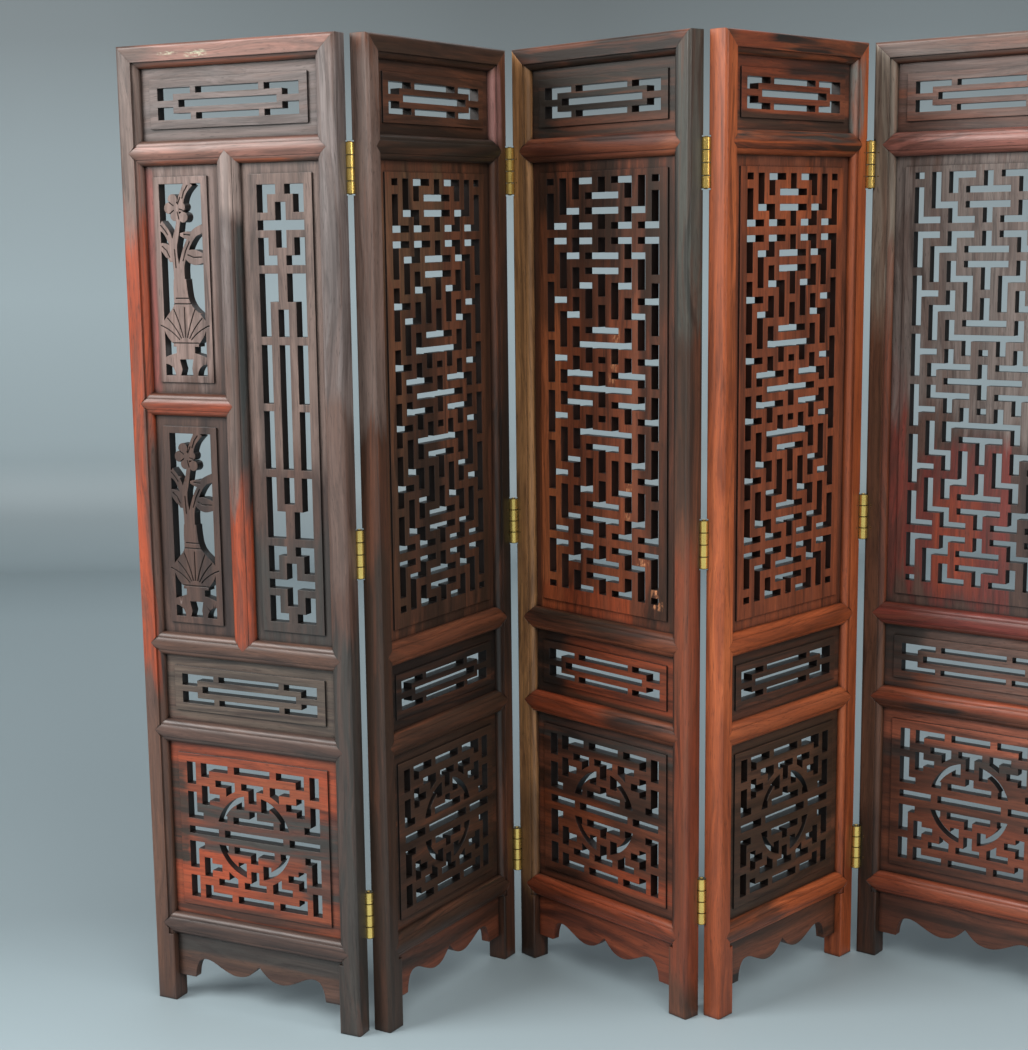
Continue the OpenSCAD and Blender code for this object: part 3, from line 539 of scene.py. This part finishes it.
# Patches of other colour on each panel's pieces, as wood() takes them: the wood's own colours, and painted sheen and
# highlights
PATCHES = {
    1: {
        "stiles": [
            (2, 236, 5.5, 96, FLAME, 0.95),
            (8.6, 300, 1.8, 60, FLAME, 0.9),
            (4, 362, 9, 36, BLUSH_SHEEN, 0.8),
            (96, 330, 9, 75, PAINTED_SHEEN, 0.75),
            (96, 225, 9, 45, BLUSH_SHEEN, 0.4),
            (97, 84, 8, 90, ASH, 0.95),
            (4, 70, 6, 66, CHESTNUT, 0.6),
        ],
        "rails": [
            (60, 397, 50, 5.5, ROSE_SHEEN, 0.8),
            (50, 358, 46, 4, ROSE_SHEEN, 0.9),
            (50, 391.4, 42, 1.4, EMBER[3], 0.9),
            (50, 353.8, 42, 1.2, EMBER[3], 0.9),
            (38.6, 395.5, 6.5, 1.7, SCUFF, 0.9),
            (25.5, 396.2, 6, 1.0, SCUFF, 0.55),
            (60, 115, 44, 4, ASH, 0.5),
            (50, 158, 46, 6, CHESTNUT, 0.45),
        ],
        "post": [
            (52, 192, 8, 34, FLAME, 0.9),
            (47.5, 320, 3.8, 42, PAINTED_SHEEN, 0.9),
            (47.5, 252, 3.8, 32, BLUSH_SHEEN, 0.9),
            (55.8, 274, 2.4, 54, SHADOW, 1.0),
            (52, 348, 9, 14, PALE_SHEEN, 0.95),
        ],
        "short_rail": [
            (27, 256, 20, 3, FLAME, 0.7),
        ],
        "friezes": [
            (50, 377, 46, 15, PAINTED_SHEEN, 0.5),
            (50, 139, 46, 15, DUST, 0.6),
        ],
        "vase_boards": [
            (10.5, 305, 3, 46, WINE, 0.95),
            (28, 310, 14, 44, PETAL, 0.85),
        ],
        "lattice": [
            (75, 182, 24, 26, ASH, 0.95),
            (75, 300, 24, 66, MAUVE_SHEEN, 0.85),
        ],
        "medallion": [
            (45, 109, 42, 7, FLAME, 0.5),
            (30, 57, 24, 12, FLAME, 0.8),
            (88, 98, 7, 12, FLAME, 0.8),
            (58, 79, 36, 10, ASH, 1.0),
            (84, 66, 10, 12, ASH, 1.0),
            (12, 84, 6, 22, UMBER, 1.0),
            (50, 43, 42, 3, UMBER, 0.7),
        ],
        "apron": [
            (50, 27, 44, 5, ASH, 0.8),
            (50, 17, 44, 4, CHESTNUT, 0.5),
        ],
    },
    2: {
        "stiles": [
            (6, 325, 10, 76, BLUSH_SHEEN, 0.75),
            (4, 100, 10, 104, UMBER, 0.85),
            (97, 220, 6, 90, SOOT, 0.5),
            (93.5, 377, 3, 16, PINK_HIGHLIGHT, 0.9),
        ],
        "rails": [
            (50, 158, 44, 6, RUST[3], 0.5),
            (50, 120, 46, 6, UMBER, 0.7),
            (50, 35, 50, 8, UMBER, 0.9),
            (50, 397, 56, 7, UMBER, 0.6),
            (50, 358, 46, 6, PITCH, 0.85),
        ],
        "friezes": [
            (50, 139, 46, 16, SOOT, 0.9),
        ],
        "lattice": [
            (30, 325, 24, 24, TAN, 0.5),
            (17, 240, 8, 70, HONEY, 0.08),
            (50, 200, 36, 40, UMBER, 0.5),
        ],
        "medallion": [
            (50, 75, 46, 40, UMBER, 0.85),
        ],
        "apron": [
            (50, 27, 44, 5, UMBER, 0.7),
        ],
    },
    3: {
        "stiles": [
            (4, 230, 6, 200, HONEY, 0.9),
            (96, 345, 9, 60, MOSS, 1.0),
            (93.6, 330, 1.4, 72, SOOT, 0.9),
            (98, 110, 6, 95, FLAME, 0.4),
            (95, 240, 5, 40, UMBER, 0.7),
            (93, 150, 1.4, 110, SOOT, 0.9),
            (4, 40, 6, 40, UMBER, 0.5),
        ],
        "rails": [
            (50, 397, 50, 7, COAL, 1.0),
            (30, 399, 22, 1.4, RUST[3], 0.4),
            (50, 358, 44, 6, OXBLOOD, 0.85),
            (46, 361, 30, 1.6, SOOT, 0.7),
            (30, 120, 24, 6, FLAME, 0.6),
            (72, 121, 18, 3, SOOT, 0.9),
            (50, 35, 46, 6, FLAME, 0.6),
            (60, 158, 20, 3, SOOT, 0.7),
            (34, 160, 30, 4, UMBER, 0.9),
        ],
        "friezes": [
            (52, 379, 50, 17, PITCH, 1.0),
            (60, 367, 40, 3, RUST[3], 0.5),
            (64, 139, 34, 12, FLAME, 0.5),
            (16, 139, 10, 15, SOOT, 0.85),
        ],
        "lattice": [
            (40, 235, 26, 70, ORANGE[1], 0.5),
            (20, 238, 7, 84, AMBER, 0.8),
            (50, 320, 40, 30, UMBER, 0.6),
            (86, 250, 9, 90, UMBER, 0.6),
            (40, 168, 26, 6, FLAME, 0.6),
            (58.2, 280.6, 2.2, 4, RAW, 1.0),
            (57.2, 271.6, 1.8, 4, RAW, 1.0),
            (56, 264.6, 2, 2, RAW, 1.0),
            (65.6, 217.6, 2, 6, RAW, 1.0),
            (64.6, 209.6, 2, 3, RAW, 1.0),
            (73.6, 190, 3.2, 1.8, RAW, 1.0),
            (80.2, 178, 1.8, 3.5, RAW, 1.0),
            (81.6, 173, 2.6, 1.6, RAW, 1.0),
        ],
        "medallion": [
            (50, 111, 46, 6, ASH, 0.95),
            (30, 72, 22, 8, ORANGE[1], 0.6),
            (70, 50, 24, 5, FLAME, 0.6),
            (76, 90, 18, 14, UMBER, 0.6),
        ],
    },
    4: {
        "stiles": [
            (4, 60, 9, 74, BRICK, 0.7),
            (7, 330, 4, 60, COPPER, 0.6),
            (93.5, 377, 3.4, 15, DRAB_HIGHLIGHT, 1.0),
            (9, 300, 1.6, 60, UMBER, 0.6),
        ],
        "rails": [
            (50, 397, 56, 7, UMBER, 0.9),
            (22, 398, 16, 4, EMBER[2], 0.8),
            (46, 398, 16, 1.8, SOOT, 1.0),
            (58, 395, 12, 1.4, SOOT, 1.0),
            (50, 361, 44, 2.2, ASH, 1.0),
            (50, 356.6, 44, 0.9, SOOT, 0.9),
            (22, 35, 22, 7, UMBER, 0.8),
            (50, 120, 48, 6, RUST[3], 0.5),
        ],
        "friezes": [
            (40, 380, 34, 12, EMBER[2], 0.7),
            (70, 388, 22, 3, SOOT, 0.9),
            (50, 366, 44, 4, UMBER, 0.9),
            (50, 139, 46, 16, UMBER, 0.95),
        ],
        "lattice": [
            (50, 250, 38, 92, EMBER[3], 0.6),
            (50, 336, 38, 12, ORANGE[2], 0.5),
        ],
        "medallion": [
            (50, 78, 48, 44, SEPIA, 0.9),
            (40, 96, 30, 6, CHESTNUT, 0.5),
        ],
        "apron": [
            (50, 20, 40, 4, RUST[3], 0.6),
        ],
    },
    5: {
        "stiles": [
            (4, 350, 9, 70, SAND_SHEEN, 0.85),
            (4, 180, 9, 110, CHESTNUT, 0.7),
            (9, 240, 1.6, 80, EMBER[2], 0.7),
        ],
        "rails": [
            (50, 158, 50, 6, CRIMSON, 0.8),
            (50, 36, 48, 6, FLAME, 0.5),
            (50, 123, 48, 3, FLAME, 0.6),
            (34, 118, 12, 2, SOOT, 0.9),
            (50, 357, 50, 6, CORAL, 0.8),
            (50, 397, 50, 5, MINK, 0.7),
        ],
        "friezes": [
            (50, 377, 46, 15, FAWN_SHEEN, 0.7),
            (60, 139, 34, 14, DUN, 0.7),
            (16, 139, 10, 15, ASH, 0.8),
        ],
        "lattice": [
            (12, 222, 7, 52, SCARLET, 0.85),
            (40, 200, 24, 34, CRIMSON, 0.8),
            (40, 192, 10, 20, FLAME, 0.6),
            (50, 300, 46, 60, OAT_SHEEN, 0.95),
        ],
        "medallion": [
            (50, 108, 44, 8, CLAY, 0.75),
            (40, 97, 30, 4, ASH, 0.8),
            (60, 60, 34, 10, EMBER[2], 0.6),
        ],
    },
    6: {
        "stiles": [
            (98, 240, 5, 100, FLAME, 0.7),
            (6, 320, 10, 70, ASH, 0.6),
        ],
        "post": [
            (50, 200, 8, 42, FLAME, 0.7),
            (47, 300, 3, 50, SOOT, 0.9),
        ],
        "lattice": [
            (40, 200, 14, 40, CRIMSON, 0.5),
        ],
        "medallion": [
            (50, 104, 40, 8, FLAME, 0.6),
            (50, 76, 36, 8, ASH, 0.8),
        ],
    },
}

BRASS = metal("brass", colour=(0.92, 0.65, 0.19), rough=0.24)
PIN = metal("pin_brass", colour=(0.88, 0.61, 0.18), rough=0.26)
BRAD = metal("brad_brass", colour=(0.30, 0.20, 0.09), rough=0.45)


def dress(node, material):
    """Gives a node its material"""
    obj = frame["nodes"][node]
    for slot in obj.material_slots:
        slot.material = material
    if not obj.material_slots:
        obj.data.materials.append(material)


for k in range(1, PANELS + 1):
    for number, (part, tones) in enumerate(zip(PARTS, SETS[k])):
        framed = part in FRAME_PARTS
        dress("panel_%d_%s" % (k, part), wood(
            "%s_wood_%d" % (part, k), k, "x" if part in LEVEL_GRAIN else "z", tones,
            seed=k + SEEDS_APART * number, patches=PATCHES[k].get(part, ()),
            rough=FRAME_ROUGH if framed else BOARD_ROUGH, pierced=not framed and part != "apron"))
    dress("panel_%d_hinge_leaves" % k, BRASS)
    dress("panel_%d_brads" % k, BRAD)
for k in range(1, PANELS):
    dress("hinge_pins_%d_%d" % (k, k + 1), PIN)


# Vase of flowers: places in millimetres from the middle of its foot, as seen on the left end panel
VASE_MIDDLE = 26.3
VASE_FEET = (169.8, 269.65)
# Depth of the boards' front face, the grooves' width and depth, and how far the cutter stands out of it
FACE_DEPTH = 3.0
CUT_WIDTH = 0.55
CUT_DEPTH = 0.55
CUT_ABOVE = 0.2
CUTTER_SIDES = 3
# Fan of petals on the bowl: its foot, the lines' reach, how many lie on each side of the middle one, and
# their angle in radians, of which a share grows with the reach
BOWL_FOOT = (0, 10.5)
BOWL_REACH = (4.8, 17.0)
BOWL_LINES = 3
BOWL_STEPS = 8
BOWL_ANGLE = 0.31
BOWL_BEND = 0.45
# The lines beyond the first one beside the middle are shorter
LONG_LINES = 1
SHORTER = 0.86
FLOWER = (-2.0, 66.8)
FLOWER_REACH = (1.5, 4.7)
# Directions between the flower's petals, in degrees from upright
PETAL_GAPS = (-126, -56, 26, 108, 166)
# Rings round the neck and the bowl, then the veins of the leaves and stems
LEAF_CUTS = [[(-4.9, 28.8), (4.2, 28.8)], [(-3.9, 31.0), (2.7, 31.0)], [(-6.2, 13.1), (6.4, 13.1)],
             [(2.6, 48.3), (5.5, 47.2), (9.6, 47.3)], [(-9.6, 51.8), (-7.4, 50.0), (-6.0, 47.2)],
             [(-10.0, 60.2), (-8.2, 58.4), (-6.6, 56.2)], [(0.9, 70.4), (2.0, 73.2), (3.8, 75.6)],
             [(1.0, 56.4), (4.2, 56.0)], [(-3.2, 43.0), (-3.6, 50.5)],
             [(0.3, 45.8), (1.8, 50.0), (3.8, 53.6)]]


def vase_cuts():
    """Lines cut into one vase: a fan of petals on the bowl, the flower's petals, rings and leaf veins"""
    lines = [list(line) for line in LEAF_CUTS]
    near, far = BOWL_REACH
    for i in range(-BOWL_LINES, BOWL_LINES + 1):
        line = []
        for step in range(BOWL_STEPS + 1):
            reach = near + (far - near) * step / BOWL_STEPS * (1.0 if abs(i) <= LONG_LINES else SHORTER)
            angle = BOWL_ANGLE * i * (1 - BOWL_BEND + BOWL_BEND * reach / far)
            line.append((BOWL_FOOT[0] + reach * math.sin(angle), BOWL_FOOT[1] + reach * math.cos(angle)))
        lines.append(line)
    for degrees in PETAL_GAPS:
        a = math.radians(degrees)
        lines.append([(FLOWER[0] + r * math.sin(a), FLOWER[1] + r * math.cos(a)) for r in FLOWER_REACH])
    return lines


def groove(verts, faces, line, place):
    """Adds a V-shaped cutter along a line of points to the lists"""
    first = len(verts)
    for i, (u, v) in enumerate(line):
        before = line[max(i - 1, 0)]
        after = line[min(i + 1, len(line) - 1)]
        du = after[0] - before[0]
        dv = after[1] - before[1]
        length = math.hypot(du, dv)
        spread = 1 + CUT_ABOVE / CUT_DEPTH
        su = -dv / length * CUT_WIDTH / 2 * spread
        sv = du / length * CUT_WIDTH / 2 * spread
        verts.append(place(u + su, FACE_DEPTH - CUT_ABOVE, v + sv))
        verts.append(place(u - su, FACE_DEPTH - CUT_ABOVE, v - sv))
        verts.append(place(u, FACE_DEPTH + CUT_DEPTH, v))
    faces.append((first, first + 1, first + 2))
    for i in range(len(line) - 1):
        ring = first + CUTTER_SIDES * i
        after = ring + CUTTER_SIDES
        for a, b in ((0, 1), (1, 2), (2, 0)):
            faces.append((ring + a, ring + b, after + b, after + a))
    last = len(verts) - CUTTER_SIDES
    faces.append((last + 2, last + 1, last))


def carve(k):
    """Cuts the lines into the vases of an end panel"""
    turn = Matrix.Rotation(math.radians(HEADINGS[k - 1]), 3, "Z")
    verts = []
    faces = []
    for foot in VASE_FEET:
        def place(u, depth, v):
            x = VASE_MIDDLE + u if k == 1 else WIDTH * PER_METRE - VASE_MIDDLE - u
            return ORIGINS[k - 1] + turn @ Vector((x, depth, 0)) * MM + Vector((0, 0, (foot + v) * MM))
        for line in vase_cuts():
            groove(verts, faces, line, place)
    mesh = bpy.data.meshes.new("vase_cutter_%d" % k)
    mesh.from_pydata(verts, [], faces)
    work = bmesh.new()
    work.from_mesh(mesh)
    bmesh.ops.recalc_face_normals(work, faces=work.faces)
    work.to_mesh(mesh)
    work.free()
    cutter = bpy.data.objects.new("vase_cutter_%d" % k, mesh)
    bpy.context.collection.objects.link(cutter)
    node = "panel_%d_vase_boards" % k
    piece = bpy.data.objects.new("carved_vase_boards_%d" % k, frame["nodes"][node].data.copy())
    bpy.context.collection.objects.link(piece)
    cut = piece.modifiers.new("cut", "BOOLEAN")
    cut.operation = "DIFFERENCE"
    cut.solver = "EXACT"
    cut.object = cutter
    bpy.context.view_layer.update()
    carved = piece.evaluated_get(bpy.context.evaluated_depsgraph_get())
    piece.data = bpy.data.meshes.new_from_object(carved)
    piece.modifiers.clear()
    bpy.data.objects.remove(cutter)
    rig.ride(piece, "panel_%d" % k)
    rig.replaces(piece, node)
    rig.slot(piece, "rosewood_plum")


carve(1)
carve(PANELS)


# Camera at the photograph's place, found from the panel corners: lengths in metres, angles in degrees, and
# the focal length, picture size and middle of the view in pixels
THIRD_FROM_SPOT = Vector((0.023906, 0.806814, 0))
SPOT_HEIGHT = 0.326976
FOCAL = 1862.3
FRAME_W = 1028
FRAME_H = 1050
VIEW_MIDDLE = (451.3, 552.2)
DOWNWARD = 9.894
SIDEWAYS = 0.324
LEAN = -0.988
SENSOR = 36
NEAREST = 0.01
FARTHEST = 20

lens = bpy.data.cameras.new("photo_camera")
lens.sensor_width = SENSOR
lens.lens = FOCAL * SENSOR / FRAME_H
lens.shift_x = (FRAME_W / 2 - VIEW_MIDDLE[0]) / FRAME_H
lens.shift_y = (VIEW_MIDDLE[1] - FRAME_H / 2) / FRAME_H
lens.clip_start = NEAREST
lens.clip_end = FARTHEST
camera = bpy.data.objects.new("photo_camera", lens)
tilt = Euler((math.radians(90 - DOWNWARD), 0, math.radians(SIDEWAYS))).to_matrix()
roll = Matrix.Rotation(math.radians(LEAN), 3, "Z")
camera.rotation_euler = (tilt @ roll).to_euler()
spot = ORIGINS[2] - THIRD_FROM_SPOT
camera.location = (spot.x, spot.y, SPOT_HEIGHT)
bpy.context.collection.objects.link(camera)
bpy.context.scene.camera = camera


# Card that the screen stands on: it covers the floor and bends up into a wall behind, in metres
CARD_SIDE = 4.0
CARD_FRONT = -3.0
CARD_WALL = 1.12
CARD_TOP = 3.0
CARD_BEND = 0.10
BEND_STEPS = 12
CARD_ROUGH = 0.55
# Its colour, and the painted light and shade along the way from the front edge up the wall: lighter near the front and
# on the lower wall, darker behind the screen, in the crease and high on the wall
CARD = (0.78, 0.98, 1.08)
CARD_SPAN = (-0.4, 1.9)
CARD_PAINTED_LIGHT = [(-0.25, 0.46), (-0.06, 0.335), (0.10, 0.228), (0.27, 0.235), (0.80, 0.265), (1.15, 0.210),
               (1.24, 0.305), (1.38, 0.325), (1.52, 0.250), (1.63, 0.160), (1.70, 0.133), (1.85, 0.12)]
CARD_WAVES = (3.0, 2)
CARD_WAVE_RANGE = (*MOST_OF_A_NOISE, -0.01, 0.01)
# A soft painted shadow high on the wall: its middle in x, how it fades sideways, and from where along the card
SHADE_MIDDLE = -0.0198
SHADE_ASIDE = (0.05, 0.42, 0.36, 0.0)
SHADE_UP = (1.45, 1.68)
BLACK = (0, 0, 0)


def sweep():
    """Floor that sweeps up into a wall behind the screen, with painted light and shade on it"""
    line = [(CARD_FRONT, 0.0), (CARD_WALL - CARD_BEND, 0.0)]
    for i in range(1, BEND_STEPS + 1):
        a = math.pi / 2 * i / BEND_STEPS
        line.append((CARD_WALL - CARD_BEND + CARD_BEND * math.sin(a), CARD_BEND - CARD_BEND * math.cos(a)))
    line.append((CARD_WALL, CARD_TOP))
    verts = [(x, y, z) for (y, z) in line for x in (-CARD_SIDE, CARD_SIDE)]
    faces = [(2 * i, 2 * i + 1, 2 * i + 3, 2 * i + 2) for i in range(len(line) - 1)]
    mesh = bpy.data.meshes.new("backdrop")
    mesh.from_pydata(verts, [], faces)
    for face in mesh.polygons:
        face.use_smooth = True
    obj = bpy.data.objects.new("backdrop", mesh)
    bpy.context.collection.objects.link(obj)
    n = Nodes("backdrop_card")
    coord = n.coordinates("Object")
    place = n.split(coord)
    # Way along the card: over the floor and then up the wall
    waves = n.remap(n.noise(coord, *CARD_WAVES), *CARD_WAVE_RANGE)
    way = n.math("ADD", n.math("ADD", place["Y"], place["Z"]), waves)
    low, high = CARD_SPAN
    # Painted light and shade along the card
    stops = [((at - low) / (high - low), tuple(shade * c for c in CARD)) for at, shade in CARD_PAINTED_LIGHT]
    card = n.ramp(n.remap(way, low, high), stops)
    # Painted shadow high on the wall, darkest near its middle in x
    aside = n.math("ABSOLUTE", n.math("SUBTRACT", place["X"], SHADE_MIDDLE))
    shade = n.math("MULTIPLY", n.remap(aside, *SHADE_ASIDE), n.remap(way, *SHADE_UP))
    n.link(n.mix(shade, card, BLACK), n.shader.inputs["Base Color"])
    n.shader.inputs["Roughness"].default_value = CARD_ROUGH
    obj.data.materials.append(n.material)
    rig.stage(obj)


sweep()


# Soft lights: name, place, the point each faces, size, watts and colour
LIGHTS = [
    ("left", (-1.30, -0.50, 0.95), (-0.10, 0.0, 0.30), (0.8, 0.8), 30, (1.0, 0.98, 0.95)),
    ("front", (0.15, -1.3, 1.35), (0.05, 0.0, 0.25), (1.2, 0.8), 22, (1.0, 0.97, 0.92)),
    ("right", (1.5, -1.1, 0.9), (0.1, 0.0, 0.25), (0.9, 0.9), 14, (1.0, 0.95, 0.90)),
    ("top", (0.0, -0.1, 1.7), (0, 0.1, 0.0), (1.2, 0.9), 8, (0.95, 0.98, 1.0)),
    ("back", (0.1, 0.95, 1.2), (0, 0.0, 0.25), (1.2, 0.5), 2.5, (0.95, 0.98, 1.0)),
]
# Even light of the room
ROOM_COLOUR = (0.92, 0.90, 0.88, 1)
ROOM_LIGHT = 0.18


def area(name, place, target, size, watts, colour):
    """A rectangular light"""
    light = bpy.data.lights.new(name, "AREA")
    light.shape = "RECTANGLE"
    light.size = size[0]
    light.size_y = size[1]
    light.energy = watts
    light.color = colour
    obj = bpy.data.objects.new(name, light)
    obj.location = place
    obj.rotation_euler = (Vector(target) - Vector(place)).to_track_quat("-Z", "Y").to_euler()
    bpy.context.collection.objects.link(obj)


for light in LIGHTS:
    area(*light)

world = bpy.data.worlds.new("room")
bpy.context.scene.world = world
world.use_nodes = True
background = world.node_tree.nodes["Background"]
background.inputs["Color"].default_value = ROOM_COLOUR
background.inputs["Strength"].default_value = ROOM_LIGHT

bpy.context.scene.view_settings.view_transform = "Standard"
bpy.context.scene.view_settings.look = "None"

with open("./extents.json") as old:
    sizes = json.load(old)
sizes["visual"] = [list(map(float, c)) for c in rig.bounds()]
with open("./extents.json", "w") as out:
    json.dump(sizes, out)
